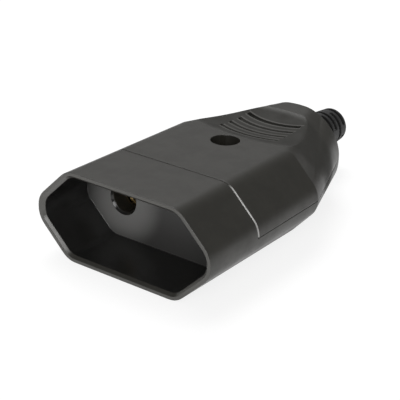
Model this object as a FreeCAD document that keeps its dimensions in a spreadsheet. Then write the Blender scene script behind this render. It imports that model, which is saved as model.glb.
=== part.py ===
import FreeCAD, Part
import operator
import os
from types import SimpleNamespace

import Sketcher

# A flat two-pole cable coupler for 4 mm round pins, to be wired by hand. It lies along Y with the
# socket towards -Y. While a piece is drawn, y counts from the socket's rim, z from the parting plane
# at mid height and x from the middle; its Placement then brings it to the underside's centre.

# Driving dimensions in millimetres
SIZES = {
    # Eight-sided body: the flats are the straight stretches between the rounded edges. Its underside is
    # level, and its top falls a little from the rim to the shoulder
    "body_width": 39.2,
    "body_height": 17.8,
    "body_length": 60.3,
    "top_flat": 21.6,
    "side_flat": 0.4,
    "edge_radius": 4.3,
    "shoulder_width": 38.2,
    "shoulder_reach": 34.7,
    "shoulder_drop": 0.4,
    "tail_width": 18.8,
    "tail_flat": 1.4,
    "tail_side": 2.0,
    "tail_slope_rise": 0.3,
    "dome_reach": 62.0,
    "dome_half_width": 25.0,
    "dome_half_height": 22.0,
    # Socket for the plug and its two pins
    "sleeve_reach": 14.35,
    "recess_depth": 12.1,
    "socket_wall": 1.2,
    "rim_edge": 0.55,
    "pin_pitch": 19.0,
    "pin_length": 19.0,
    "pin_hole": 5.3,
    "pin_hole_lead": 0.5,
    # Shell walls and the joint between base and cover
    "cover_wall": 1.6,
    "cover_roof": 2.3,
    "base_floor": 2.5,
    "seam_gap": 0.12,
    "seam_chamfer": 0.3,
    "lip_height": 1.0,
    "lip_thickness": 0.8,
    "lip_clearance": 0.12,
    "spigot_length": 1.5,
    "tail_block": 5.5,
    # Finger grip on both faces: an oval dish and a row of curved grooves in its floor
    "dish_reach": 43.3,
    "dish_length": 18.2,
    "dish_width": 38.0,
    "dish_depth": 1.1,
    "dish_crown": 12.0,
    "grip_front_span": 14.2,
    "grip_rear_span": 12.0,
    "grip_count": 4,
    "grip_reach": 37.5,
    "grip_pitch": 3.0,
    "grip_fall": 0.17,
    "grip_radius": 15.0,
    "grip_sweep": 90.0,
    "grip_width": 1.0,
    "grip_bottom": 0.4,
    "grip_bevel": 0.4,
    "grip_depth": 1.1,
    # Central screw, its well, nut and retaining ring
    "screw_reach": 31.0,
    "screw_diameter": 2.9,
    "screw_seat_rise": 0.4,
    "screw_end_gap": 0.1,
    "screw_head": 5.0,
    "screw_head_height": 1.9,
    "screw_hole_clearance": 0.15,
    "thread_clearance": 0.05,
    "well_diameter": 5.7,
    "boss_wall": 1.6,
    "boss_drop": 2.0,
    "nut_width": 5.5,
    "nut_height": 2.4,
    "nut_recess": 1.2,
    "nut_clearance": 0.1,
    "retainer_diameter": 5.0,
    "retainer_thickness": 0.7,
    "retainer_clearance": 0.15,
    # Forms that all screws share
    "drive_width": 0.8,
    "drive_depth": 0.9,
    "cross_reach": 1.8,
    "head_edge": 0.35,
    "point_chamfer": 0.35,
    # Brass contacts with square terminals
    "contact_setback": 0.35,
    "contact_diameter": 5.4,
    "contact_bore": 4.05,
    "contact_lead": 0.25,
    "bore_allowance": 0.4,
    "slit_width": 0.6,
    "slit_length": 11.0,
    "terminal_gap": 0.5,
    "terminal_width": 5.6,
    "terminal_length": 7.0,
    "wire_bore": 2.5,
    "wire_depth": 5.5,
    "wire_drop": 0.5,
    "terminal_screw_diameter": 2.4,
    "terminal_screw_length": 4.0,
    "terminal_head": 4.2,
    "terminal_head_height": 1.4,
    "terminal_head_gap": 0.3,
    # Ribs that carry the contacts
    "rib_thickness": 1.4,
    "rib_width": 7.2,
    "cradle_reach": 20.0,
    "seat_clearance": 0.05,
    "hold_clearance": 0.15,
    # Cord clamp
    "cord_diameter": 5.2,
    "cord_clearance": 0.6,
    "clamp_reach": 48.0,
    "clamp_pitch": 13.2,
    "clamp_seat_drop": 1.2,
    "strap_width": 4.6,
    "strap_thickness": 1.6,
    "strap_arch": 1.4,
    "strap_overhang": 2.3,
    "clamp_boss": 5.0,
    "clamp_screw_length": 7.0,
    "clamp_screw_head": 4.2,
    "clamp_screw_head_height": 1.4,
    "clamp_hole_spare": 0.6,
    # Soft boot at the cord end
    "boot_reach": 11.2,
    "boot_diameter": 9.3,
    "boot_tip_diameter": 7.4,
    "boot_bore": 5.4,
    "boot_edge": 0.5,
    "boot_clearance": 0.12,
    "collar_diameter": 11.4,
    "collar_thickness": 1.8,
    "collar_setback": 2.2,
    "slot_rows": 5,
    "slot_first": 2.0,
    "slot_pitch": 1.8,
    "slot_width": 1.0,
    "slot_web": 2.2,
}

# How far a cut runs past the material it leaves
OVERCUT = 5.0
# How near an edge must lie to a plane or radius to be taken as lying on it
NEARNESS = 1e-4

doc = FreeCAD.newDocument("cable_coupler")

OPERATIONS = {"+": operator.add, "-": operator.sub, "*": operator.mul, "/": operator.truediv}


class Size:
    """A sheet expression with its present value, so that one formula both draws and drives a size."""

    def __init__(self, text, value):
        self.text = text
        self.value = value

    def __add__(self, other):
        return combine(self, "+", other)

    def __radd__(self, other):
        return combine(other, "+", self)

    def __sub__(self, other):
        return combine(self, "-", other)

    def __rsub__(self, other):
        return combine(other, "-", self)

    def __mul__(self, other):
        return combine(self, "*", other)

    def __rmul__(self, other):
        return combine(other, "*", self)

    def __truediv__(self, other):
        return combine(self, "/", other)

    def __neg__(self):
        return combine(0, "-", self)


def as_size(number):
    return number if isinstance(number, Size) else Size(str(float(number)), float(number))


def combine(left, sign, right):
    left = as_size(left)
    right = as_size(right)
    return Size(f"({left.text} {sign} {right.text})", OPERATIONS[sign](left.value, right.value))


def write_sheet():
    """Fill the spreadsheet and return its aliases as Size values."""
    sheet = doc.addObject("Spreadsheet::Sheet", "sizes")
    for row, (alias, number) in enumerate(SIZES.items(), start=1):
        sheet.set(f"A{row}", alias)
        sheet.set(f"B{row}", str(number))
        sheet.setAlias(f"B{row}", alias)
    doc.recompute()
    return SimpleNamespace(**{alias: Size(f"sizes.{alias}", number) for alias, number in SIZES.items()})


def square_root(size):
    return Size(f"sqrt({size.text})", size.value ** 0.5)


s = write_sheet()

# Stations along Y and heights that several pieces share
half_height = s.body_height / 2
rear_top = half_height - s.shoulder_drop
tail_radius = rear_top - s.tail_side / 2 - s.tail_slope_rise
seam_station = s.sleeve_reach + s.seam_gap
spigot_end = s.sleeve_reach + s.spigot_length
cavity_end = s.body_length - s.tail_block
overall_length = s.body_length + s.boot_reach
contact_front = spigot_end + s.contact_setback
bore_end = s.recess_depth + s.pin_length + s.bore_allowance
terminal_front = bore_end + s.terminal_gap
terminal_rear = terminal_front + s.terminal_length
terminal_middle = terminal_front + s.terminal_length / 2
terminal_half = s.terminal_width / 2
boss_radius = s.well_diameter / 2 + s.boss_wall
nut_face = s.nut_recess - half_height
nut_floor = nut_face + s.nut_height
screw_length = s.screw_seat_rise - nut_face - s.screw_end_gap
collar_rear = s.body_length - s.collar_setback
collar_front = collar_rear - s.collar_thickness
cord_radius = s.cord_diameter / 2
lip_inset = s.cover_wall + s.lip_clearance
lip_roof = s.cover_roof + s.lip_clearance
base_inset = lip_inset + s.lip_thickness


# Document helpers
def bind(target, **properties):
    """Tie properties of a document object to sheet expressions; a double underscore stands for a dot."""
    for name, size in properties.items():
        target.setExpression(name.replace("__", "."), as_size(size).text)


def new_body(label):
    body = doc.addObject("PartDesign::Body", label)
    body.Label = label
    return body


def place(body, x=0, y=0, z=0):
    bind(
        body,
        Placement__Base__x=x,
        Placement__Base__y=y - overall_length / 2,
        Placement__Base__z=z + half_height,
    )


def datum(body, role):
    return next(feature for feature in body.Origin.OriginFeatures if feature.Role == role)


def new_sketch(body, name, plane, station=0):
    """A sketch on an origin plane, moved along the part's own Y, Z or X to the station."""
    sketch = body.newObject("Sketcher::SketchObject", name)
    sketch.AttachmentSupport = (datum(body, plane), [""])
    sketch.MapMode = "FlatFace"
    bind(sketch, AttachmentOffset__Base__z=-as_size(station) if plane == "XZ_Plane" else station)
    return sketch


def drive(sketch, size, *constraint):
    size = as_size(size)
    index = sketch.addConstraint(Sketcher.Constraint(*constraint, size.value))
    sketch.setExpression(f"Constraints[{index}]", size.text)


def pin_point(sketch, geometry, end, x, y):
    drive(sketch, x, "DistanceX", -1, 1, geometry, end)
    drive(sketch, y, "DistanceY", -1, 1, geometry, end)


def vector(x, y):
    return FreeCAD.Vector(as_size(x).value, as_size(y).value, 0)


def polygon(sketch, corners):
    first = sketch.GeometryCount
    count = len(corners)
    for index, corner in enumerate(corners):
        following = corners[(index + 1) % count]
        sketch.addGeometry(Part.LineSegment(vector(*corner), vector(*following)))
    for index, corner in enumerate(corners):
        following = first + (index + 1) % count
        sketch.addConstraint(Sketcher.Constraint("Coincident", first + index, 2, following, 1))
        pin_point(sketch, first + index, 1, *corner)


def rectangle(sketch, x_low, x_high, y_low, y_high):
    polygon(sketch, [(x_low, y_low), (x_high, y_low), (x_high, y_high), (x_low, y_high)])


def circle(sketch, x, y, radius):
    radius = as_size(radius)
    geometry = sketch.addGeometry(Part.Circle(vector(x, y), FreeCAD.Vector(0, 0, 1), radius.value))
    pin_point(sketch, geometry, 3, x, y)
    drive(sketch, radius, "Radius", geometry)


def hexagon(sketch, x, y, across_flats):
    """A hexagon with two corners on the line through its centre along the sketch's x."""
    corner = across_flats / square_root(as_size(3))
    half_flat = across_flats / 2
    polygon(sketch, [
        (x + corner, y), (x + corner / 2, y + half_flat), (x - corner / 2, y + half_flat),
        (x - corner, y), (x - corner / 2, y - half_flat), (x + corner / 2, y - half_flat),
    ])


def guide_line(sketch, start, end):
    """A construction line, to turn a profile about or to repeat it along."""
    line = sketch.addGeometry(Part.LineSegment(vector(*start), vector(*end)), True)
    pin_point(sketch, line, 1, *start)
    pin_point(sketch, line, 2, *end)


def rounded_octagon(sketch, half_width, top, bottom, half_flat, half_side, radius):
    """The body's section: flats at top, bottom and sides, joined by slopes with equal rounded edges."""
    flats = (
        ((-half_flat, top), (half_flat, top)),
        ((half_width, half_side), (half_width, -half_side)),
        ((half_flat, -bottom), (-half_flat, -bottom)),
        ((-half_width, -half_side), (-half_width, half_side)),
    )
    lines = []
    for start, end in flats:
        lines.append(sketch.addGeometry(Part.LineSegment(vector(*start), vector(*end))))
        pin_point(sketch, lines[-1], 1, *start)
        pin_point(sketch, lines[-1], 2, *end)
    arcs = []
    for index, line in enumerate(lines):
        arcs.extend(slope_between(sketch, line, lines[(index + 1) % 4], radius.value))
    drive(sketch, radius, "Radius", arcs[0])
    for arc in arcs[1:]:
        sketch.addConstraint(Sketcher.Constraint("Equal", arcs[0], arc))


def slope_between(sketch, line, following, radius):
    """Join two flats, clockwise, by an arc, a sloping line and a second arc, all tangent."""
    leave = sketch.Geometry[line]
    arrive = sketch.Geometry[following]
    leave_way = (leave.EndPoint - leave.StartPoint).normalize()
    arrive_way = (arrive.EndPoint - arrive.StartPoint).normalize()
    leave_out = FreeCAD.Vector(-leave_way.y, leave_way.x, 0)
    arrive_out = FreeCAD.Vector(-arrive_way.y, arrive_way.x, 0)
    first_centre = leave.EndPoint - leave_out * radius
    second_centre = arrive.StartPoint - arrive_out * radius
    slope_way = (second_centre - first_centre).normalize()
    slope_out = FreeCAD.Vector(-slope_way.y, slope_way.x, 0) * radius
    first = sketch.addGeometry(corner_arc(first_centre, radius, slope_out, leave_out))
    slope = sketch.addGeometry(Part.LineSegment(first_centre + slope_out, second_centre + slope_out))
    second = sketch.addGeometry(corner_arc(second_centre, radius, arrive_out, slope_out))
    for one, one_end, other, other_end in (
        (line, 2, first, 2), (first, 1, slope, 1), (slope, 2, second, 2), (second, 1, following, 1),
    ):
        sketch.addConstraint(Sketcher.Constraint("Tangent", one, one_end, other, other_end))
    return first, second


def corner_arc(centre, radius, from_way, to_way):
    x_axis = FreeCAD.Vector(1, 0, 0)
    ring = Part.Circle(centre, FreeCAD.Vector(0, 0, 1), radius)
    start = x_axis.getAngle(from_way) * (1 if from_way.y >= 0 else -1)
    end = x_axis.getAngle(to_way) * (1 if to_way.y >= 0 else -1)
    return Part.ArcOfCircle(ring, start, end)


def extrude(body, kind, name, sketch, length, reverse, both):
    feature = body.newObject(kind, name)
    feature.Profile = sketch
    feature.Reversed = reverse
    if both:
        feature.SideType = "Symmetric"
    if length is None:
        feature.Type = "ThroughAll"
    else:
        bind(feature, Length=length)
    return feature


def pad(body, name, sketch, length, reverse=False, both=False):
    return extrude(body, "PartDesign::Pad", name, sketch, length, reverse, both)


def pocket(body, name, sketch, length=None, reverse=False, both=False):
    return extrude(body, "PartDesign::Pocket", name, sketch, length, reverse, both)


def boolean(body, name, kind, tool):
    feature = body.newObject("PartDesign::Boolean", name)
    feature.Type = kind
    feature.setObjects([tool])
    return feature


def edges_where(feature, test):
    doc.recompute()
    return [f"Edge{number}" for number, edge in enumerate(feature.Shape.Edges, start=1) if test(edge)]


def at_station(edge, station):
    """Whether an edge lies in the plane across the body at this y."""
    return all(abs(vertex.Y - station.value) < NEARNESS for vertex in edge.Vertexes)


def hole_edges(feature, station):
    """The edges round the hole in the face that lies across the body at a station."""
    doc.recompute()
    face = next(face for face in feature.Shape.Faces if at_station(face, station))
    outside = face.OuterWire.Edges
    return [edge for edge in face.Edges if not any(edge.isSame(other) for other in outside)]


def chamfer(body, name, base, test, size):
    """A chamfer on the edges of the base feature that pass the test."""
    feature = body.newObject("PartDesign::Chamfer", name)
    feature.Base = (base, edges_where(base, test))
    bind(feature, Size=size)
    return feature


# Forms shared by the two shells
def coupler_form(body, start, side_inset, roof_inset):
    """The body's form from a station to its tail, drawn in from the outside by the two insets."""
    front = new_sketch(body, "front_section", "XZ_Plane", start)
    shoulder = new_sketch(body, "shoulder_section", "XZ_Plane", s.shoulder_reach)
    share = start / s.shoulder_reach
    start_width = s.body_width + (s.shoulder_width - s.body_width) * share
    start_top = half_height - s.shoulder_drop * share
    for sketch, width, top in ((front, start_width, start_top), (shoulder, s.shoulder_width, rear_top)):
        rounded_octagon(
            sketch,
            width / 2 - side_inset,
            top - roof_inset,
            half_height - roof_inset,
            s.top_flat / 2,
            s.side_flat / 2,
            s.edge_radius - roof_inset,
        )
    tail = new_sketch(body, "tail_section", "XZ_Plane", s.body_length)
    rounded_octagon(
        tail,
        s.tail_width / 2 - side_inset,
        rear_top - roof_inset,
        half_height - roof_inset,
        s.tail_flat / 2,
        s.tail_side / 2,
        tail_radius - roof_inset,
    )
    for name, profile, section in (("sleeve_part", front, shoulder), ("tapered_part", shoulder, tail)):
        form = body.newObject("PartDesign::AdditiveLoft", name)
        form.Profile = profile
        form.Sections = [section]
        form.Ruled = True


def outer_form(body):
    none = as_size(0)
    coupler_form(body, none, none, none)
    boolean(body, "rounded_tail", "Common", tail_dome())


def tail_dome():
    """A long ellipsoid about the rim's middle, which rounds off the tail."""
    dome = new_body("tail_dome")
    ellipsoid(dome, "dome", 1, s.dome_half_width, s.dome_reach, s.dome_half_height, 0, 0)
    return dome


def ellipsoid(form, name, side, across, along, tall, reach, height):
    """An ellipsoid with its poles along X and its seam turned away from the tail and the given side."""
    solid = form.newObject("PartDesign::AdditiveEllipsoid", name)
    solid.AttachmentSupport = (datum(form, "XY_Plane"), [""])
    solid.MapMode = "FlatFace"
    solid.AttachmentOffset = FreeCAD.Placement(
        FreeCAD.Vector(), FreeCAD.Rotation(FreeCAD.Vector(0, 1, 0), -90 * side)
    )
    bind(
        solid,
        Radius1=across,
        Radius2=tall,
        Radius3=along,
        AttachmentOffset__Base__y=reach,
        AttachmentOffset__Base__z=height,
    )


def trim_behind(body, station):
    """Cut away everything of a form behind a station."""
    sketch = new_sketch(body, "end_of_cavity", "XZ_Plane", station)
    rectangle(sketch, -s.body_width, s.body_width, -s.body_height, s.body_height)
    pocket(body, "trim", sketch)


def boot_seat(body):
    """The round seat of the boot's collar and neck, with the cord's way in, half in each shell."""
    sketch = new_sketch(body, "boot_seat_profile", "YZ_Plane")
    channel = cord_radius + s.cord_clearance
    collar = s.collar_diameter / 2 + s.boot_clearance
    neck = s.boot_diameter / 2 + s.boot_clearance
    collar_start = collar_front - s.boot_clearance
    collar_stop = collar_rear + s.boot_clearance
    polygon(sketch, [
        (cavity_end - OVERCUT, 0), (cavity_end - OVERCUT, channel), (collar_start, channel),
        (collar_start, collar), (collar_stop, collar), (collar_stop, neck),
        (s.body_length + OVERCUT, neck), (s.body_length + OVERCUT, 0),
    ])
    groove = body.newObject("PartDesign::Groove", "boot_seat")
    groove.Profile = sketch
    groove.ReferenceAxis = (datum(body, "Y_Axis"), [""])
    groove.Angle = 360


def finger_grip(side):
    """What the finger grip takes out of one face: an oval dish with curved grooves in its floor."""
    form = new_body("grip_form")
    half_width = s.grip_width / 2
    half_bottom = s.grip_bottom / 2
    face = rear_top if side > 0 else half_height
    above = side * (face + s.grip_depth)
    bottom = side * (face - s.grip_depth)
    bend = bottom + side * s.grip_bevel
    profile = new_sketch(form, "groove_profile", "YZ_Plane")
    polygon(profile, [
        (s.grip_reach - half_width, above), (s.grip_reach - half_width, bend),
        (s.grip_reach - half_bottom, bottom), (s.grip_reach + half_bottom, bottom),
        (s.grip_reach + half_width, bend), (s.grip_reach + half_width, above),
    ])
    pivot = s.grip_reach + s.grip_radius
    guide_line(profile, (pivot, 0), (pivot, above))
    guide_line(profile, (s.grip_reach, bottom), (s.grip_reach + s.grip_pitch, bottom - side * s.grip_fall))
    groove = form.newObject("PartDesign::Revolution", "groove")
    groove.Profile = profile
    groove.ReferenceAxis = (profile, ["Axis0"])
    groove.Midplane = True
    bind(groove, Angle=s.grip_sweep)
    row = form.newObject("PartDesign::LinearPattern", "groove_row")
    row.Originals = [groove]
    row.Direction = (profile, ["Axis1"])
    bind(row, Length=s.grip_pitch * (s.grip_count - 1), Occurrences=s.grip_count)
    form.Tip = row
    boolean(form, "grooves_in_dish", "Common", grip_room(side))
    oval_dish(form, side, face)
    return form


def grip_room(side):
    """The tapering room within which the grooves are cut, from mid height outwards."""
    room = new_body("grip_room")
    plan = new_sketch(room, "room_plan", "XY_Plane")
    front = s.dish_reach - s.dish_length / 2
    rear = s.dish_reach + s.dish_length / 2
    half_front = s.grip_front_span / 2
    half_rear = s.grip_rear_span / 2
    polygon(plan, [(-half_front, front), (half_front, front), (half_rear, rear), (-half_rear, rear)])
    pad(room, "room", plan, s.body_height, reverse=side < 0)
    return room


def oval_dish(form, side, face):
    """A flat ellipsoid that dips into a face at this height."""
    dip = (s.dish_crown - s.dish_depth) / s.dish_crown
    spread = 2 * square_root(1 - dip * dip)
    middle = side * (face - s.dish_depth + s.dish_crown)
    ellipsoid(
        form, "dish", side, s.dish_width / spread, s.dish_length / spread, s.dish_crown, s.dish_reach, middle
    )


def base_core():
    """The hollow of the base, with the ribs, seats and bosses left standing in it."""
    core = new_body("base_core")
    coupler_form(core, spigot_end, base_inset, s.base_floor)
    trim_behind(core, cavity_end)

    boss = new_sketch(core, "boss_plan", "XY_Plane", -s.boss_drop)
    circle(boss, 0, s.screw_reach, boss_radius)
    pocket(core, "boss_kept", boss)

    cradles = new_sketch(core, "cradle_plan", "XY_Plane")
    stops = new_sketch(core, "stop_plan", "XY_Plane", -s.wire_drop - s.wire_bore / 2)
    seats = new_sketch(core, "terminal_seat_plan", "XY_Plane", -terminal_half)
    half_rib = s.rib_width / 2
    front_stop = terminal_front - s.seat_clearance
    rear_stop = terminal_rear + s.seat_clearance
    for side in (-1, 1):
        middle = side * s.pin_pitch / 2
        for rear in (s.cradle_reach + s.rib_thickness, front_stop):
            rectangle(cradles, middle - half_rib, middle + half_rib, rear - s.rib_thickness, rear)
        rectangle(stops, middle - half_rib, middle + half_rib, rear_stop, rear_stop + s.rib_thickness)
        rectangle(
            seats, middle - terminal_half, middle + terminal_half,
            terminal_middle - s.rib_thickness, terminal_middle + s.rib_thickness,
        )
    pocket(core, "cradles_kept", cradles)
    pocket(core, "stops_kept", stops)
    pocket(core, "terminal_seats_kept", seats)

    bosses = new_sketch(core, "clamp_boss_plan", "XY_Plane", -s.clamp_seat_drop)
    for side in (-1, 1):
        circle(bosses, side * s.clamp_pitch / 2, s.clamp_reach, s.clamp_boss / 2)
    pocket(core, "clamp_bosses_kept", bosses)
    saddle = new_sketch(core, "saddle_plan", "XY_Plane", -cord_radius)
    half_saddle = s.clamp_pitch / 2
    rectangle(
        saddle, -half_saddle, half_saddle,
        s.clamp_reach - s.rib_thickness / 2, s.clamp_reach + s.rib_thickness / 2,
    )
    pocket(core, "saddle_kept", saddle)
    return core


def lip_and_spigot():
    """What stands up from the base inside the cover: a spigot behind the seam and a lip along the sides."""
    form = new_body("lip_and_spigot")
    coupler_form(form, s.sleeve_reach - s.spigot_length, lip_inset, lip_roof)
    trim_behind(form, cavity_end - s.lip_clearance)
    above = new_sketch(form, "above_lip", "YZ_Plane")
    rectangle(above, spigot_end, s.body_length + OVERCUT, s.lip_height, s.body_height)
    pocket(form, "lower_to_lip", above, both=True)
    return form


# Sub-parts
def base_shell():
    body = new_body("base_shell")
    outer_form(body)
    space = new_sketch(body, "cover_space", "YZ_Plane")
    rectangle(space, s.sleeve_reach, s.body_length + OVERCUT, 0, s.body_height)
    pocket(body, "room_for_cover", space, both=True)
    boolean(body, "lip", "Fuse", lip_and_spigot())

    recess = new_sketch(body, "recess_section", "XZ_Plane")
    rounded_octagon(
        recess,
        s.body_width / 2 - s.socket_wall,
        half_height - s.socket_wall,
        half_height - s.socket_wall,
        s.top_flat / 2,
        s.side_flat / 2,
        s.edge_radius - s.socket_wall,
    )
    plug_recess = pocket(body, "plug_recess", recess, s.recess_depth)
    mouth = hole_edges(plug_recess, as_size(0))
    chamfer(
        body, "rim_edge", plug_recess,
        lambda edge: any(edge.isSame(other) for other in mouth), size=s.rim_edge,
    )
    boolean(body, "hollow", "Cut", base_core())

    pins = new_sketch(body, "pin_holes", "XZ_Plane", s.recess_depth)
    channels = new_sketch(body, "contact_channels", "XZ_Plane", spigot_end)
    for side in (-1, 1):
        circle(pins, side * s.pin_pitch / 2, 0, s.pin_hole / 2)
        circle(channels, side * s.pin_pitch / 2, 0, s.contact_diameter / 2 + s.seat_clearance)
    pocket(body, "contact_seats", channels, terminal_front - spigot_end)
    holes = pocket(body, "pin_ways", pins, spigot_end - s.recess_depth)
    chamfer(
        body, "pin_hole_lead", holes,
        lambda edge: at_station(edge, s.recess_depth) and edge.Curve.TypeId == "Part::GeomCircle"
        and abs(edge.Curve.Radius - s.pin_hole.value / 2) < NEARNESS,
        size=s.pin_hole_lead,
    )

    ring_seat = new_sketch(body, "retainer_seat", "XY_Plane", -s.boss_drop)
    circle(ring_seat, 0, s.screw_reach, s.retainer_diameter / 2 + s.retainer_clearance)
    pocket(body, "room_for_retainer", ring_seat, s.retainer_thickness + s.retainer_clearance)
    shank = new_sketch(body, "screw_way", "XY_Plane")
    circle(shank, 0, s.screw_reach, s.screw_diameter / 2 + s.screw_hole_clearance)
    pocket(body, "screw_hole", shank)
    nut = new_sketch(body, "nut_pocket_plan", "XY_Plane", nut_floor)
    hexagon(nut, 0, s.screw_reach, s.nut_width + 2 * s.nut_clearance)
    pocket(body, "nut_pocket", nut)

    clamp = new_sketch(body, "clamp_holes", "XY_Plane", -s.clamp_seat_drop)
    for side in (-1, 1):
        circle(clamp, side * s.clamp_pitch / 2, s.clamp_reach, s.screw_diameter / 2 + s.thread_clearance)
    strap_drop = s.clamp_screw_length - s.strap_thickness
    pocket(body, "clamp_threads", clamp, strap_drop + s.clamp_hole_spare)
    boot_seat(body)
    boolean(body, "finger_grip", "Cut", finger_grip(-1))
    place(body)
    return body


def cover_core():
    """The hollow of the cover, open towards the socket, with the hold-down ribs left standing in it."""
    core = new_body("cover_core")
    coupler_form(core, s.sleeve_reach - s.spigot_length, s.cover_wall, s.cover_roof)
    trim_behind(core, cavity_end)
    ribs = new_sketch(core, "hold_down_plan", "XY_Plane", s.hold_clearance)
    half_rib = s.rib_width / 2
    for side in (-1, 1):
        middle = side * s.pin_pitch / 2
        rectangle(
            ribs, middle - half_rib, middle + half_rib,
            s.cradle_reach, s.cradle_reach + s.rib_thickness,
        )
    pocket(core, "hold_downs_kept", ribs, reverse=True)
    return core


def cover_shell():
    body = new_body("cover_shell")
    outer_form(body)
    below = new_sketch(body, "base_space", "YZ_Plane")
    polygon(below, [
        (-OVERCUT, -s.body_height), (s.body_length + OVERCUT, -s.body_height),
        (s.body_length + OVERCUT, s.seam_gap), (seam_station, s.seam_gap),
        (seam_station, s.body_height), (-OVERCUT, s.body_height),
    ])
    upper_half = pocket(body, "room_for_base", below, both=True)
    chamfer(
        body, "seam_chamfer", upper_half,
        lambda edge: at_station(edge, seam_station) and edge.BoundBox.ZMax > s.seam_gap.value + NEARNESS,
        size=s.seam_chamfer,
    )
    boolean(body, "hollow", "Cut", cover_core())

    boss = new_sketch(body, "boss_plan", "XY_Plane", -s.boss_drop)
    circle(boss, 0, s.screw_reach, boss_radius)
    pad(body, "boss", boss, s.boss_drop + half_height - s.cover_roof / 2)
    well = new_sketch(body, "well_plan", "XY_Plane", s.screw_seat_rise)
    circle(well, 0, s.screw_reach, s.well_diameter / 2)
    pocket(body, "well", well, reverse=True)
    shank = new_sketch(body, "screw_way", "XY_Plane")
    circle(shank, 0, s.screw_reach, s.screw_diameter / 2 + s.screw_hole_clearance)
    pocket(body, "screw_hole", shank, both=True)

    channels = new_sketch(body, "hold_down_notches", "XZ_Plane", s.cradle_reach - OVERCUT)
    for side in (-1, 1):
        circle(channels, side * s.pin_pitch / 2, 0, s.contact_diameter / 2 + s.hold_clearance)
    pocket(body, "hold_down_seats", channels, s.rib_thickness + 2 * OVERCUT)
    boot_seat(body)
    boolean(body, "finger_grip", "Cut", finger_grip(1))
    place(body)
    return body


def bend_relief():
    body = new_body("bend_relief")
    bore = s.boot_bore / 2
    outside = s.boot_diameter / 2
    tip = s.boot_tip_diameter / 2
    collar = s.collar_diameter / 2
    profile = new_sketch(body, "profile", "YZ_Plane")
    polygon(profile, [
        (collar_front, bore), (collar_front, collar), (collar_rear, collar), (collar_rear, outside),
        (s.body_length, outside), (overall_length - s.boot_edge, tip), (overall_length, tip - s.boot_edge),
        (overall_length, bore),
    ])
    turned = body.newObject("PartDesign::Revolution", "turned_form")
    turned.Profile = profile
    turned.ReferenceAxis = (datum(body, "Y_Axis"), [""])
    turned.Angle = 360

    half_web = s.slot_web / 2
    beyond = outside + OVERCUT
    upright = new_sketch(body, "slots_above_and_below", "YZ_Plane")
    sideways = new_sketch(body, "slots_at_the_sides", "XY_Plane")
    for row in range(SIZES["slot_rows"]):
        start = s.body_length + s.slot_first + row * s.slot_pitch
        for side in (-1, 1):
            if row % 2 == 0:
                rectangle(upright, start, start + s.slot_width, side * half_web, side * beyond)
            else:
                rectangle(sideways, side * half_web, side * beyond, start, start + s.slot_width)
    pocket(body, "upright_slots", upright, both=True)
    pocket(body, "sideways_slots", sideways, both=True)
    place(body)
    return body


def contact(side, label):
    """A brass contact, turned from square bar: slit sleeve in front, square terminal behind."""
    body = new_body(label)
    sleeve = new_sketch(body, "sleeve_section", "XZ_Plane", contact_front)
    circle(sleeve, 0, 0, s.contact_diameter / 2)
    pad(body, "sleeve", sleeve, terminal_front - contact_front, reverse=True)
    block = new_sketch(body, "terminal_section", "XZ_Plane", terminal_front)
    rectangle(block, -terminal_half, terminal_half, -terminal_half, terminal_half)
    pad(body, "terminal", block, s.terminal_length, reverse=True)
    bore = new_sketch(body, "bore_section", "XZ_Plane", contact_front)
    circle(bore, 0, 0, s.contact_bore / 2)
    drilled = pocket(body, "bore", bore, bore_end - contact_front)
    chamfer(
        body, "bore_lead", drilled,
        lambda edge: at_station(edge, contact_front)
        and edge.Curve.Radius < s.contact_diameter.value / 2 - NEARNESS,
        size=s.contact_lead,
    )
    slit = new_sketch(body, "slit_plan", "XZ_Plane", contact_front)
    rectangle(slit, -s.slit_width / 2, s.slit_width / 2, -s.contact_diameter, s.contact_diameter)
    pocket(body, "slit", slit, s.slit_length)
    wire = new_sketch(body, "wire_section", "XZ_Plane", terminal_rear)
    circle(wire, 0, -s.wire_drop, s.wire_bore / 2)
    pocket(body, "wire_way", wire, s.wire_depth, reverse=True)
    thread = new_sketch(body, "thread_plan", "XY_Plane", -s.wire_drop)
    circle(thread, 0, terminal_middle, s.terminal_screw_diameter / 2 + s.thread_clearance)
    pocket(body, "thread", thread, reverse=True)
    place(body, x=side * s.pin_pitch / 2)
    return body


def machine_screw(label, diameter, length, head, head_height, slots):
    """A screw along Z with its head's seat at its own zero; the head has one slot or a cross of two."""
    body = new_body(label)
    shank = new_sketch(body, "shank_plan", "XY_Plane")
    circle(shank, 0, 0, diameter / 2)
    pad(body, "shank", shank, length, reverse=True)
    top = new_sketch(body, "head_plan", "XY_Plane")
    circle(top, 0, 0, head / 2)
    formed = pad(body, "head", top, head_height)
    eased = chamfer(
        body, "head_edge", formed,
        lambda edge: edge.BoundBox.ZMin > head_height.value - NEARNESS, size=s.head_edge,
    )
    chamfer(
        body, "point", eased,
        lambda edge: edge.BoundBox.ZMax < NEARNESS - length.value, size=s.point_chamfer,
    )
    half_slot = s.drive_width / 2
    for number in range(slots):
        reach = head if slots == 1 else s.cross_reach
        slot = new_sketch(body, "slot_plan", "XY_Plane", head_height)
        if number == 0:
            rectangle(slot, -reach, reach, -half_slot, half_slot)
        else:
            rectangle(slot, -half_slot, half_slot, -reach, reach)
        pocket(body, "slot", slot, s.drive_depth)
    return body


def housing_screw():
    body = machine_screw(
        "housing_screw", s.screw_diameter, screw_length, s.screw_head, s.screw_head_height, slots=2)
    place(body, y=s.screw_reach, z=s.screw_seat_rise)
    return body


def terminal_screw(side, label):
    body = machine_screw(
        label, s.terminal_screw_diameter, s.terminal_screw_length, s.terminal_head,
        s.terminal_head_height, slots=1)
    place(body, side * s.pin_pitch / 2, terminal_middle, terminal_half + s.terminal_head_gap)
    return body


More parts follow.
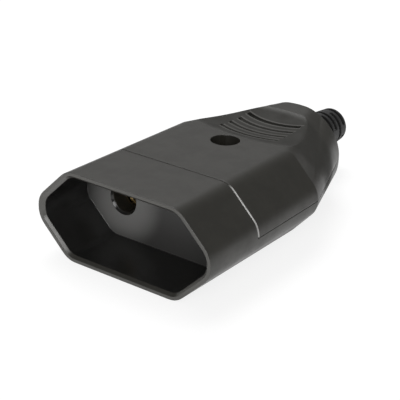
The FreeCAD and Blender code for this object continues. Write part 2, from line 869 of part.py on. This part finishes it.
def clamp_screw(side, label):
    body = machine_screw(
        label, s.screw_diameter, s.clamp_screw_length, s.clamp_screw_head, s.clamp_screw_head_height, slots=1)
    place(body, side * s.clamp_pitch / 2, s.clamp_reach, s.strap_thickness - s.clamp_seat_drop)
    return body


def housing_nut():
    body = new_body("housing_nut")
    plan = new_sketch(body, "plan", "XY_Plane")
    hexagon(plan, 0, 0, s.nut_width)
    circle(plan, 0, 0, s.screw_diameter / 2 + s.thread_clearance)
    pad(body, "nut", plan, s.nut_height, reverse=True)
    place(body, y=s.screw_reach, z=nut_floor)
    return body


def screw_retainer():
    body = new_body("screw_retainer")
    plan = new_sketch(body, "plan", "XY_Plane")
    circle(plan, 0, 0, s.retainer_diameter / 2)
    circle(plan, 0, 0, s.screw_diameter / 2 + s.thread_clearance)
    pad(body, "ring", plan, s.retainer_thickness, reverse=True)
    place(body, y=s.screw_reach, z=-s.boss_drop)
    return body


def cord_clamp():
    """The strap: two feet on the clamp bosses and an arch over the cord."""
    body = new_body("cord_clamp")
    seat = -s.clamp_seat_drop
    foot_top = seat + s.strap_thickness
    inner = cord_radius
    outer = cord_radius + s.strap_arch
    end = s.clamp_pitch / 2 + s.strap_overhang
    feet = new_sketch(body, "feet_section", "XZ_Plane", s.clamp_reach)
    rectangle(feet, -end, end, seat, foot_top)
    pad(body, "feet", feet, s.strap_width, both=True)
    arch = new_sketch(body, "arch_section", "XZ_Plane", s.clamp_reach)
    circle(arch, 0, 0, outer)
    pad(body, "arch", arch, s.strap_width, both=True)
    way = new_sketch(body, "cord_way", "XZ_Plane", s.clamp_reach)
    circle(way, 0, 0, inner)
    pocket(body, "cord_way_cut", way, both=True)
    under = new_sketch(body, "under_feet", "XZ_Plane", s.clamp_reach)
    rectangle(under, -end, end, seat - outer, seat)
    pocket(body, "flat_underside", under, both=True)
    holes = new_sketch(body, "holes", "XY_Plane")
    for side in (-1, 1):
        circle(holes, side * s.clamp_pitch / 2, s.clamp_reach, s.screw_diameter / 2 + s.screw_hole_clearance)
    pocket(body, "screw_holes", holes, both=True)
    place(body)
    return body


sub_parts = [
    base_shell(),
    cover_shell(),
    bend_relief(),
    contact(-1, "contact_left"),
    contact(1, "contact_right"),
    terminal_screw(-1, "terminal_screw_left"),
    terminal_screw(1, "terminal_screw_right"),
    cord_clamp(),
    clamp_screw(-1, "clamp_screw_left"),
    clamp_screw(1, "clamp_screw_right"),
    housing_screw(),
    housing_nut(),
    screw_retainer(),
]
doc.recompute()

for item in doc.Objects:
    if "Invalid" in item.State or "Error" in item.State:
        raise RuntimeError(f"{item.Label} failed: {item.State}")

os.makedirs("parts", exist_ok=True)
for body in sub_parts:
    shape = body.Shape
    if shape.isNull() or not shape.isValid():
        raise RuntimeError(f"{body.Label} has no valid shape")
    shape.exportStep(f"parts/{body.Label}.step")
    box = shape.optimalBoundingBox(False)
    print(
        f"{body.Label}: {len(shape.Solids)} solid, {shape.Volume:.1f} mm3, "
        f"x {box.XMin:.2f} to {box.XMax:.2f}, y {box.YMin:.2f} to {box.YMax:.2f}, "
        f"z {box.ZMin:.2f} to {box.ZMax:.2f}"
    )
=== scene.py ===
# %% [markdown]
# A flat two-pole cable coupler, the kind that joins two thin mains leads: a charcoal moulded housing in
# two halves, an open socket at the front and a soft slotted boot where the lead leaves. The solids come
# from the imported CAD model, so this lesson is about finish and light: what each material is on the
# real object, and how nodes can say it.

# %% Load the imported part
import math
from types import SimpleNamespace

import bpy
from mathutils import Matrix, Vector


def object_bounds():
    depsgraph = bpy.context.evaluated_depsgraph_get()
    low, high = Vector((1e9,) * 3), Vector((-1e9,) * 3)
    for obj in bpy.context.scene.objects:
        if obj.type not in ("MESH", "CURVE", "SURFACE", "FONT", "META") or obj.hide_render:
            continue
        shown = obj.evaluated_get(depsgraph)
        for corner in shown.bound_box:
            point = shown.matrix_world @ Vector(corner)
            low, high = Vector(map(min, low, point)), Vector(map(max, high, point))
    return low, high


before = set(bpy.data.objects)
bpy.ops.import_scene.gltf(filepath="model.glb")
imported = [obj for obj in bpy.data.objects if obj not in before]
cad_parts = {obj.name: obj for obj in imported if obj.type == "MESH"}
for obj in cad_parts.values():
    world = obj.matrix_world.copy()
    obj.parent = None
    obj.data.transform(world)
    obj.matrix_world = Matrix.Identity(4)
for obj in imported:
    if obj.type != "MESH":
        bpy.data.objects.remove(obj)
cad_low, cad_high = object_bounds()
MM = 0.001
BODY_LENGTH = cad_high.y - cad_low.y
MID_HEIGHT = (cad_low.z + cad_high.z) / 2
print("pieces of the part:", ", ".join(sorted(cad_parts)))
print("box in millimetres:", [round(side / MM, 2) for side in cad_high - cad_low])

# %% [markdown]
# A material is a graph of nodes, and most of its nodes do plain arithmetic. Drawn by hand that becomes a
# web of Math nodes, so one small class wraps an output socket and lets Python's own operators add them:
# `1 - mask` makes a Subtract node. Everything that isn't arithmetic comes from one method, `node`.

# %% A socket that can be written as a sum
class Flow:
    """The output socket of a node, with arithmetic that adds Math nodes to its finish."""

    def __init__(self, finish, socket):
        self.finish = finish
        self.socket = socket

    def math(self, operation, first, second):
        return self.finish.node("ShaderNodeMath", {"operation": operation}, {0: first, 1: second})

    def __add__(self, other):
        return self.math("ADD", self, other)

    def __radd__(self, other):
        return self.math("ADD", other, self)

    def __sub__(self, other):
        return self.math("SUBTRACT", self, other)

    def __rsub__(self, other):
        return self.math("SUBTRACT", other, self)

    def __mul__(self, other):
        return self.math("MULTIPLY", self, other)

    def __rmul__(self, other):
        return self.math("MULTIPLY", other, self)

    def __truediv__(self, other):
        return self.math("DIVIDE", self, other)

    def __pow__(self, other):
        return self.math("POWER", self, other)

    def __lt__(self, other):
        return self.math("LESS_THAN", self, other)

    def __gt__(self, other):
        return self.math("GREATER_THAN", self, other)

    def __abs__(self):
        return self.math("ABSOLUTE", self, 0.0)


# %% [markdown]
# The finish itself: a new material with a Principled shader in it. `millimetres` gives the place on the
# piece in millimetres, which keeps every later number at a scale that a ruler can check. `speckle` is a
# noise pattern around its mean, `edges` compares the normal with the one that a rounded edge would have,
# and `ramp` spreads a value over nought to one.

# %% A finish being mixed
class Finish:
    """A material under construction."""

    def __init__(self, name):
        self.material = bpy.data.materials.new(name)
        self.material.use_nodes = True
        self.tree = self.material.node_tree
        self.tree.nodes.clear()

    def node(self, kind, settings=None, sockets=None, output=0):
        made = self.tree.nodes.new(kind)
        for setting, value in (settings or {}).items():
            setattr(made, setting, value)
        for socket, value in (sockets or {}).items():
            if isinstance(value, Flow):
                self.tree.links.new(value.socket, made.inputs[socket])
            else:
                made.inputs[socket].default_value = value
        return Flow(self, made.outputs[output]) if made.outputs else None

    def millimetres(self):
        place = self.node("ShaderNodeTexCoord", output="Object")
        return self.node("ShaderNodeVectorMath", {"operation": "SCALE"}, {"Vector": place, "Scale": 1 / MM})

    def split(self, vector):
        axes = self.node("ShaderNodeSeparateXYZ", sockets={0: vector})
        return [Flow(self, axes.socket.node.outputs[index]) for index in range(3)]

    def stretch(self, vector, factors):
        return self.node("ShaderNodeVectorMath", {"operation": "MULTIPLY"}, {0: vector, 1: factors})

    def speckle(self, place, per_millimetre, detail=2.0, roughness=0.5):
        sockets = {"Vector": place, "Scale": per_millimetre, "Detail": detail, "Roughness": roughness}
        return self.node("ShaderNodeTexNoise", sockets=sockets)

    def ramp(self, value, low, high):
        sockets = {"Value": value, "From Min": low, "From Max": high}
        return self.node("ShaderNodeMapRange", {"interpolation_type": "SMOOTHSTEP"}, sockets)

    def blend(self, share, first, second):
        return self.node("ShaderNodeMix", {"data_type": "RGBA"}, {0: share, 6: first, 7: second}, output=2)

    def round_normal(self, radius_mm):
        return self.node("ShaderNodeBevel", {"samples": 8}, {"Radius": radius_mm * MM})

    def edges(self, rounded):
        plain = self.node("ShaderNodeNewGeometry", output="Normal")
        normals = {0: plain, 1: rounded}
        alike = self.node("ShaderNodeVectorMath", {"operation": "DOT_PRODUCT"}, normals, output="Value")
        return self.ramp(1 - alike, 0.01, 0.20)

    def bump(self, height, depth_mm, strength, normal):
        sockets = {"Height": height, "Distance": depth_mm * MM, "Strength": strength, "Normal": normal}
        return self.node("ShaderNodeBump", sockets=sockets)

    def surface(self, sockets):
        shader = self.node("ShaderNodeBsdfPrincipled", sockets=sockets)
        self.node("ShaderNodeOutputMaterial", sockets={"Surface": shader})
        return self.material


# %% [markdown]
# Every piece arrives from the CAD model with one plain colour. A finish could be set on each object by
# hand, but pieces of the same stuff should share one, so a helper takes a material and the names of all
# the pieces that wear it.

# %% Dressing the pieces
def dress(material, *nodes):
    """Gives CAD nodes a finish in place of their plain colour."""
    for node in nodes:
        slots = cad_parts[node].data.materials
        slots.clear()
        slots.append(material)
    print(material.name, "on", ", ".join(nodes))


# %% [markdown]
# The housing is the largest piece, moulded in charcoal plastic. The finger grip on both of its faces has
# rows of curved grooves, and the strips beside them are painted paler: a painted highlight on the rounded
# lips of the grooves. An image could hold those strips, but the grooves are arcs of one radius, one pitch
# apart, so a little arithmetic finds them: the distance past the first arc runs back and forth like a
# ping-pong ball, from nought in each groove to half a pitch between two of them.

# %% Strips beside the grip grooves
GROOVE_RADIUS = 15.0
GROOVE_PIVOT = 52.5
GROOVE_PITCH = 3.0
GROOVE_ROWS = 9.0
GROOVE_HALF_SPAN = 6.6
ROW_MARGIN = 1.2
LIP_OFFSET = 0.72
LIP_FADES = (0.30, 0.12)


# The strips beside the grooves carry a painted highlight on the groove lips.
def groove_lip_highlight(finish, across, from_rim):
    past_first = from_rim + (GROOVE_RADIUS ** 2 - across ** 2) ** 0.5 - GROOVE_PIVOT
    bounce = {0: past_first, 1: GROOVE_PITCH / 2}
    off_groove = finish.node("ShaderNodeMath", {"operation": "PINGPONG"}, bounce)
    in_rows = abs(past_first - GROOVE_ROWS / 2) < GROOVE_ROWS / 2 + ROW_MARGIN
    in_span = abs(across) < GROOVE_HALF_SPAN
    return finish.ramp(abs(off_groove - LIP_OFFSET), *LIP_FADES) * (in_rows * in_span)


# %% [markdown]
# The rest of the housing changes from place to place too: the polished core of the mould leaves the
# socket's recess glossier, and its walls are coloured darker as painted shade. Its end wall is painted
# paler as painted light, palest round the left pin hole as a painted pool of light. The rim's front face
# is paler, partly from handling and partly as painted light, and the bevels of the rim and of the seam
# carry a painted highlight. The mesh could be cut into patches with a material each, but the CAD mesh
# stays as it is. So each place is a mask, worked out from where a point lies, in millimetres from the rim
# and from mid height, and from which way it faces.

# %% Places on the housing
RECESS_DEPTH = 12.1
RECESS_LIP = 0.6
RIM_BEVEL = 0.7
SEAM = 14.62
SEAM_BEVEL = 0.18
BEVEL_FACING = 0.7
PIN_OFFSET = 9.5
# Fades of the painted pool of light round the left pin hole.
PIN_LIGHT_FADES = (95.0, 5.0)  # squared distances from the pin's axis
DISH_MIDDLE = 43.3
DISH_HALF_LENGTH = 9.1
DISH_HALF_WIDTH = 19.0
TAIL_MIDDLE = 46.0
TAIL_ENDS = (8.0, 4.0)
TAIL_SIDES = (6.5, 9.0)


def housing_places(finish, place):
    """Where on the housing a point lies, as masks from nought to one."""
    across, along, height = finish.split(place)
    from_rim = along + BODY_LENGTH / 2 / MM
    above_middle = height - MID_HEIGHT / MM
    to_right, to_rear, to_top = finish.split(finish.node("ShaderNodeTexCoord", output="Normal"))

    outward = to_right * across + to_top * above_middle
    inner_wall = (outward < -0.5) * (from_rim < RECESS_DEPTH + 0.3)
    beside_pin = (across + PIN_OFFSET) ** 2 + above_middle ** 2
    bevelled = finish.ramp(abs(to_rear + BEVEL_FACING), 0.20, 0.10) * finish.ramp(abs(to_right), 0.25, 0.45)
    dish = ((from_rim - DISH_MIDDLE) / DISH_HALF_LENGTH) ** 2 + (across / DISH_HALF_WIDTH) ** 2
    outer_face = to_top * above_middle > 5.0
    return SimpleNamespace(
        recess=inner_wall * (from_rim > RECESS_LIP),
        end_wall=(abs(from_rim - RECESS_DEPTH) < 0.15) * (to_rear < -0.9),
        # Painted pool of light round the left pin hole.
        lit_round_pin=finish.ramp(beside_pin, *PIN_LIGHT_FADES),
        # The rim's front face is painted paler, partly for wear and partly as painted light on a lit face.
        rim_face=(from_rim < 0.02) * (to_rear < -0.95),
        bevelled=bevelled,
        # Painted highlights: on the bevel of the rim here, on the bevel of the seam below.
        rim_bevel_highlight=bevelled * (from_rim < RIM_BEVEL),
        seam_bevel_highlight=bevelled * (abs(from_rim - SEAM) < SEAM_BEVEL),
        dish=finish.ramp(dish, 1.0, 0.6),
        lip_highlight=groove_lip_highlight(finish, across, from_rim) * outer_face,
        tail=finish.ramp(abs(from_rim - TAIL_MIDDLE), *TAIL_ENDS) * finish.ramp(abs(across), *TAIL_SIDES),
    )


# %% [markdown]
# The plastic itself is tough and black-brown, a little grey on top where the light rakes its spark-eroded
# grain. Two scales of noise do most of it: cloudy patches a few millimetres wide tint the colour and the
# gloss, and a grain of about a fifth of a millimetre goes into the bump. Edges are rounded in the shading
# by a Bevel node, more softly along the tail, and rubbed a little paler. The places then take their
# colours one over the other, and the dish of the grip is rougher than the rest, with its colour darkened
# as painted shade.

# %% The charcoal housing
CHARCOAL = (0.0335, 0.0318, 0.0262, 1)
# Darker tone for the random cloudy patches, and for painted shade in the grip's dish.
CHARCOAL_CLOUD_AND_SHADE = (0.0225, 0.0213, 0.0172, 1)
# Pale grey for real edge wear, and also for painted light on the rim face and painted highlights on the rim
# bevel and groove lips.
RUBBED_AND_HIGHLIGHT = (0.130, 0.127, 0.118, 1)
# Painted highlight along the bevel of the seam.
SEAM_HIGHLIGHT = (0.50, 0.495, 0.48, 1)
# Painted shade: the recess walls are coloured darker than the housing outside.
RECESS_SHADED_BLACK = (0.0180, 0.0178, 0.0170, 1)
# Painted light: the recess's end wall is coloured paler than its other walls.
LIT_END_WALL = (0.058, 0.057, 0.055, 1)
# Painted pool of light round the left pin hole.
PIN_LIGHT_POOL = (0.260, 0.257, 0.250, 1)


def charcoal_colour(finish, where, clouds, rubbed):
    # Random cloudy tone, plus painted shade darkening the grip's dish.
    outside = finish.blend(0.55 * clouds + 0.8 * where.dish, CHARCOAL, CHARCOAL_CLOUD_AND_SHADE)
    # Real edge wear, plus painted light on the rim face and painted highlights on the rim bevel and groove
    # lips.
    worn_and_highlit = 0.35 * rubbed + 0.7 * where.rim_face + 0.9 * where.rim_bevel_highlight + 0.6 * where.lip_highlight
    outside = finish.blend(worn_and_highlit, outside, RUBBED_AND_HIGHLIGHT)
    # Painted highlight on the seam's bevel.
    outside = finish.blend(where.seam_bevel_highlight, outside, SEAM_HIGHLIGHT)
    # Painted light on the end wall, palest round the left pin hole.
    end_wall = finish.blend(where.lit_round_pin, LIT_END_WALL, PIN_LIGHT_POOL)
    # The recess takes painted shade, and its end wall painted light.
    inside = finish.blend(where.end_wall, RECESS_SHADED_BLACK, end_wall)
    return finish.blend(where.recess + where.end_wall, outside, inside)


def charcoal_plastic():
    finish = Finish("charcoal_housing")
    place = finish.millimetres()
    where = housing_places(finish, place)

    clouds = finish.ramp(finish.speckle(place, 0.22, detail=3.0, roughness=0.6), 0.35, 0.68)
    flow_marks = finish.speckle(finish.stretch(place, (1.0, 0.12, 1.0)), 0.9)
    grain = finish.speckle(place, 5.5, detail=3.0, roughness=0.65)
    pits = finish.speckle(place, 14.0, detail=1.0)

    crisp = finish.round_normal(0.25)
    edge = finish.edges(crisp)
    corners = {0: where.tail, 4: crisp, 5: finish.round_normal(1.4)}
    rounded = finish.node("ShaderNodeMix", {"data_type": "VECTOR"}, corners, output=1)
    rubbed = edge * finish.ramp(finish.speckle(place, 1.3, detail=3.0), 0.30, 0.62)

    satin = 0.40 + 0.07 * clouds + 0.10 * (grain - 0.5) + 0.06 * (flow_marks - 0.5) - 0.06 * rubbed
    polish = 0.26 + 0.04 * clouds + 0.05 * flow_marks
    gloss = satin * (1 - where.recess) + polish * where.recess
    relief = (0.7 * grain + 0.3 * pits) * (1 - 0.9 * where.recess)
    return finish.surface({
        "Base Color": charcoal_colour(finish, where, clouds, rubbed),
        "Roughness": gloss - 0.24 * edge - 0.20 * where.bevelled + 0.32 * where.dish,
        "IOR": 1.50,
        "Normal": finish.bump(relief, 0.03, 0.35, rounded),
    })


dress(charcoal_plastic(), "base_shell", "cover_shell")

# %% [markdown]
# The boot is another plastic altogether: soft, slightly rubbery and nearly black, so that it bends with
# the lead. Soft plastics let light in a little and pick up a dusty bloom. Subsurface scattering could show
# that, but it is slow and hardly seen on black, so a little sheen and a broad rough lobe suggest it. A
# cloudy noise makes the bloom, and the rubbed rings are paler.

# %% The soft boot
BOOT_BLACK = (0.0120, 0.0120, 0.0118, 1)
BOOT_BLOOM = (0.0260, 0.0258, 0.0250, 1)


def soft_boot():
    finish = Finish("soft_boot")
    place = finish.millimetres()
    bloom = finish.ramp(finish.speckle(place, 0.8, detail=4.0, roughness=0.6), 0.40, 0.75)
    skin = finish.speckle(place, 7.0, detail=3.0, roughness=0.6)
    rounded = finish.round_normal(0.30)
    rubbed = finish.edges(rounded)
    colour = finish.blend(0.55 * bloom + 0.35 * rubbed, BOOT_BLACK, BOOT_BLOOM)
    return finish.surface({
        "Base Color": colour,
        "Roughness": 0.58 + 0.12 * bloom + 0.10 * (skin - 0.5),
        "Sheen Weight": 0.05,
        "Normal": finish.bump(skin, 0.03, 0.30, rounded),
    })


dress(soft_boot(), "bend_relief")

# %% [markdown]
# The contacts are turned from brass rod and slit. A lathe leaves rings round the axis, and tarnish starts
# in dull patches. An image of turned metal would need unwrapped meshes, so noise does it in space: one
# pattern is squeezed along the axis until it becomes rings, and a second, cloudy one turns parts of the
# bright metal browner and rougher.

# %% Turned brass
BRASS = (0.80, 0.58, 0.26, 1)
TARNISH = (0.50, 0.33, 0.14, 1)


def turned_brass():
    finish = Finish("turned_brass")
    place = finish.millimetres()
    rings = finish.speckle(finish.stretch(place, (0.05, 9.0, 0.05)), 1.0)
    dull = finish.ramp(finish.speckle(place, 0.5, detail=4.0, roughness=0.6), 0.42, 0.72)
    rounded = finish.round_normal(0.12)
    return finish.surface({
        "Base Color": finish.blend(0.6 * dull, BRASS, TARNISH),
        "Metallic": 1.0,
        "Roughness": 0.20 + 0.18 * dull + 0.10 * rings,
        "Normal": finish.bump(rings, 0.02, 0.25, rounded),
    })


dress(turned_brass(), "contact_left", "contact_right")

# %% [markdown]
# Screws and nut are steel with a thin zinc plating: grey with a faint blue or straw tint that comes and
# goes, and soft blotches where the plating is thicker. One plain grey metal would do from afar. Two
# noises, a slow one for the tint and a fine one for the crystals, keep it from looking like chrome close
# up. Drivers and fingers rub the edges brighter.

# %% Zinc-plated steel
ZINC = (0.60, 0.61, 0.62, 1)
ZINC_STRAW = (0.56, 0.52, 0.43, 1)
ZINC_BRIGHT = (0.78, 0.78, 0.78, 1)


def plated_steel():
    finish = Finish("plated_steel")
    place = finish.millimetres()
    tint = finish.ramp(finish.speckle(place, 0.9, detail=3.0), 0.38, 0.70)
    crystals = finish.speckle(place, 9.0)
    rounded = finish.round_normal(0.10)
    rubbed = finish.edges(rounded)
    plated = finish.blend(0.5 * tint, ZINC, ZINC_STRAW)
    return finish.surface({
        "Base Color": finish.blend(0.6 * rubbed, plated, ZINC_BRIGHT),
        "Metallic": 1.0,
        "Roughness": 0.30 + 0.12 * tint + 0.12 * (crystals - 0.5) - 0.08 * rubbed,
        "Normal": finish.bump(crystals, 0.01, 0.25, rounded),
    })


STEEL_NODES = (
    "housing_screw", "housing_nut", "terminal_screw_left", "terminal_screw_right",
    "clamp_screw_left", "clamp_screw_right",
)
dress(plated_steel(), *STEEL_NODES)

# %% [markdown]
# Two small pieces are left inside. The strap over the cord is moulded from the housing's plastic family
# but comes from a plainer mould, with streaks along its length. The ring that keeps the screw in the
# cover is punched from red-brown vulcanised fibre, whose matted strands show as fine stretched noise.
# They could share the housing's finish, but with the cover off each should be told apart at a glance.

# %% Cord strap and fibre ring
STRAP_GREY = (0.055, 0.053, 0.050, 1)
STRAP_PALE = (0.080, 0.077, 0.072, 1)
FIBRE_RED = (0.30, 0.085, 0.050, 1)
FIBRE_BROWN = (0.16, 0.050, 0.035, 1)


def strap_plastic():
    finish = Finish("strap_plastic")
    place = finish.millimetres()
    streaks = finish.speckle(finish.stretch(place, (0.3, 1.6, 1.0)), 1.2, detail=3.0)
    grain = finish.speckle(place, 6.0)
    rounded = finish.round_normal(0.20)
    return finish.surface({
        "Base Color": finish.blend(finish.ramp(streaks, 0.35, 0.70), STRAP_GREY, STRAP_PALE),
        "Roughness": 0.40 + 0.15 * streaks,
        "Normal": finish.bump(grain, 0.02, 0.25, rounded),
    })


def red_fibre():
    finish = Finish("red_fibre")
    place = finish.millimetres()
    strands = finish.speckle(finish.stretch(place, (1.0, 4.0, 6.0)), 2.2, detail=4.0, roughness=0.7)
    rounded = finish.round_normal(0.08)
    return finish.surface({
        "Base Color": finish.blend(finish.ramp(strands, 0.35, 0.70), FIBRE_RED, FIBRE_BROWN),
        "Roughness": 0.68 + 0.15 * strands,
        "Normal": finish.bump(strands, 0.02, 0.40, rounded),
    })


dress(strap_plastic(), "cord_clamp")
dress(red_fibre(), "screw_retainer")

# %% [markdown]
# The stage is a sheet of white paper in soft studio light. Paper that is lit at a plain level never quite
# reaches pure white, and more light would bleach the coupler too. So a share of the floor glows, but only
# for rays that come from the camera, off a glossy surface or through a clear one. The rest is ordinary
# paper and keeps the coupler's soft shadow.

# %% White paper floor
PAPER = (0.93, 0.93, 0.93, 1)
PAPER_FIBRE = (0.90, 0.90, 0.90, 1)
PAPER_SEEN = (0.29, 0.29, 0.29, 1)
GLOW = 0.82
FLOOR_HALF_SIDE = 1.6


def paper():
    finish = Finish("white_paper")
    straight = finish.node("ShaderNodeLightPath", output="Is Camera Ray")
    glossy = finish.node("ShaderNodeLightPath", output="Is Glossy Ray")
    through = finish.node("ShaderNodeLightPath", output="Is Transmission Ray")
    seen = straight + glossy + through
    fibres = finish.speckle(finish.millimetres(), 0.4, detail=3.0)
    sheet = finish.blend(0.15 * fibres, PAPER, PAPER_FIBRE)
    return finish.surface({
        "Base Color": finish.blend(seen, sheet, PAPER_SEEN),
        "Roughness": 1.0,
        "Specular IOR Level": 0.0,
        "Emission Color": GLOW * seen,
        "Emission Strength": 1.0,
    })


def put_in_scene(name, data):
    thing = bpy.data.objects.new(name, data)
    bpy.context.scene.collection.objects.link(thing)
    return thing


def floor_sheet(half):
    corners = [(-half, -half, 0), (half, -half, 0), (half, half, 0), (-half, half, 0)]
    mesh = bpy.data.meshes.new("paper_floor")
    mesh.from_pydata(corners, [], [(0, 1, 2, 3)])
    mesh.materials.append(paper())
    sheet = put_in_scene("paper_floor", mesh)
    return sheet


floor = floor_sheet(FLOOR_HALF_SIDE)
print("floor", [round(side, 2) for side in floor.dimensions])

# %% [markdown]
# Dark plastic is mostly shown by what it reflects. A picture of a studio round the scene could light it,
# but soft boxes can be moved one by one. A large one hangs overhead, a little behind and to the left. A dim
# one stands low behind it, where the flat top mirrors it but the dished grip does not. The right slope
# mirrors the dim room, so it stays darker. A smaller box above the camera picks out the bevelled rim and
# the seam. A lamp's power is worked out from how bright its sheet should look, so the numbers below are
# brightness and not watts.

# %% Soft boxes and room light
MIDDLE = Vector((0, 0, 0.01))
ROOM_LIGHT = 0.22
SOFT_BOXES = {
    "left_box": {"place": (-0.36, 0.26, 0.86), "width": 0.6, "height": 0.6, "brightness": 4.2},
    "rear_box": {"place": (-0.43, 0.59, 0.30), "width": 0.5, "height": 0.3, "brightness": 0.25},
    "camera_box": {"place": (0.37, -0.62, 0.40), "width": 0.36, "height": 0.44, "brightness": 4.6},
}


def soft_box(name, place, width, height, brightness):
    lamp = bpy.data.lights.new(name, "AREA")
    lamp.shape = "RECTANGLE"
    lamp.size = width
    lamp.size_y = height
    lamp.energy = brightness * math.pi * width * height
    box = put_in_scene(name, lamp)
    box.location = place
    box.rotation_euler = (box.location - MIDDLE).to_track_quat("Z", "Y").to_euler()
    print(f"{name}: {lamp.energy:.2f} W")


for name, sheet in SOFT_BOXES.items():
    soft_box(name, **sheet)

room = bpy.data.worlds.new("studio_room")
room.use_nodes = True
backdrop = room.node_tree.nodes["Background"]
backdrop.inputs["Color"].default_value = (1, 1, 1, 1)
backdrop.inputs["Strength"].default_value = ROOM_LIGHT
bpy.context.scene.world = room
bpy.context.scene.view_settings.view_transform = "Standard"

# %% [markdown]
# The camera looks down on the socket's right corner through a long lens. Aimed by eye it would never sit
# quite right, so its bearing, height, roll and distance were fitted beforehand to the photograph's rim,
# seam and silhouette, all at once. The three axes are worked out from those angles, with the roll turning
# the picture a little about its own centre.

# %% The camera
BEARING = math.radians(36.197)
ELEVATION = math.radians(24.468)
ROLL = math.radians(1.468)
EYE = Vector((0.12482, -0.18297, 0.10375))
LENS = 110.29
SENSOR = 36.0
NEAREST = 0.01


def photo_camera():
    lens = bpy.data.cameras.new("photo_camera")
    lens.lens = LENS
    lens.sensor_width = SENSOR
    lens.clip_start = NEAREST
    camera = put_in_scene("photo_camera", lens)
    away = Vector((
        math.sin(BEARING) * math.cos(ELEVATION),
        -math.cos(BEARING) * math.cos(ELEVATION),
        math.sin(ELEVATION),
    ))
    level = Vector((math.cos(BEARING), math.sin(BEARING), 0))
    upright = away.cross(level)
    right = level * math.cos(ROLL) + upright * math.sin(ROLL)
    up = upright * math.cos(ROLL) - level * math.sin(ROLL)
    turn = Matrix((right, up, away)).transposed().to_4x4()
    camera.matrix_world = Matrix.Translation(EYE) @ turn
    bpy.context.scene.camera = camera
    return camera


camera = photo_camera()
print("camera at", [round(value, 4) for value in camera.location])
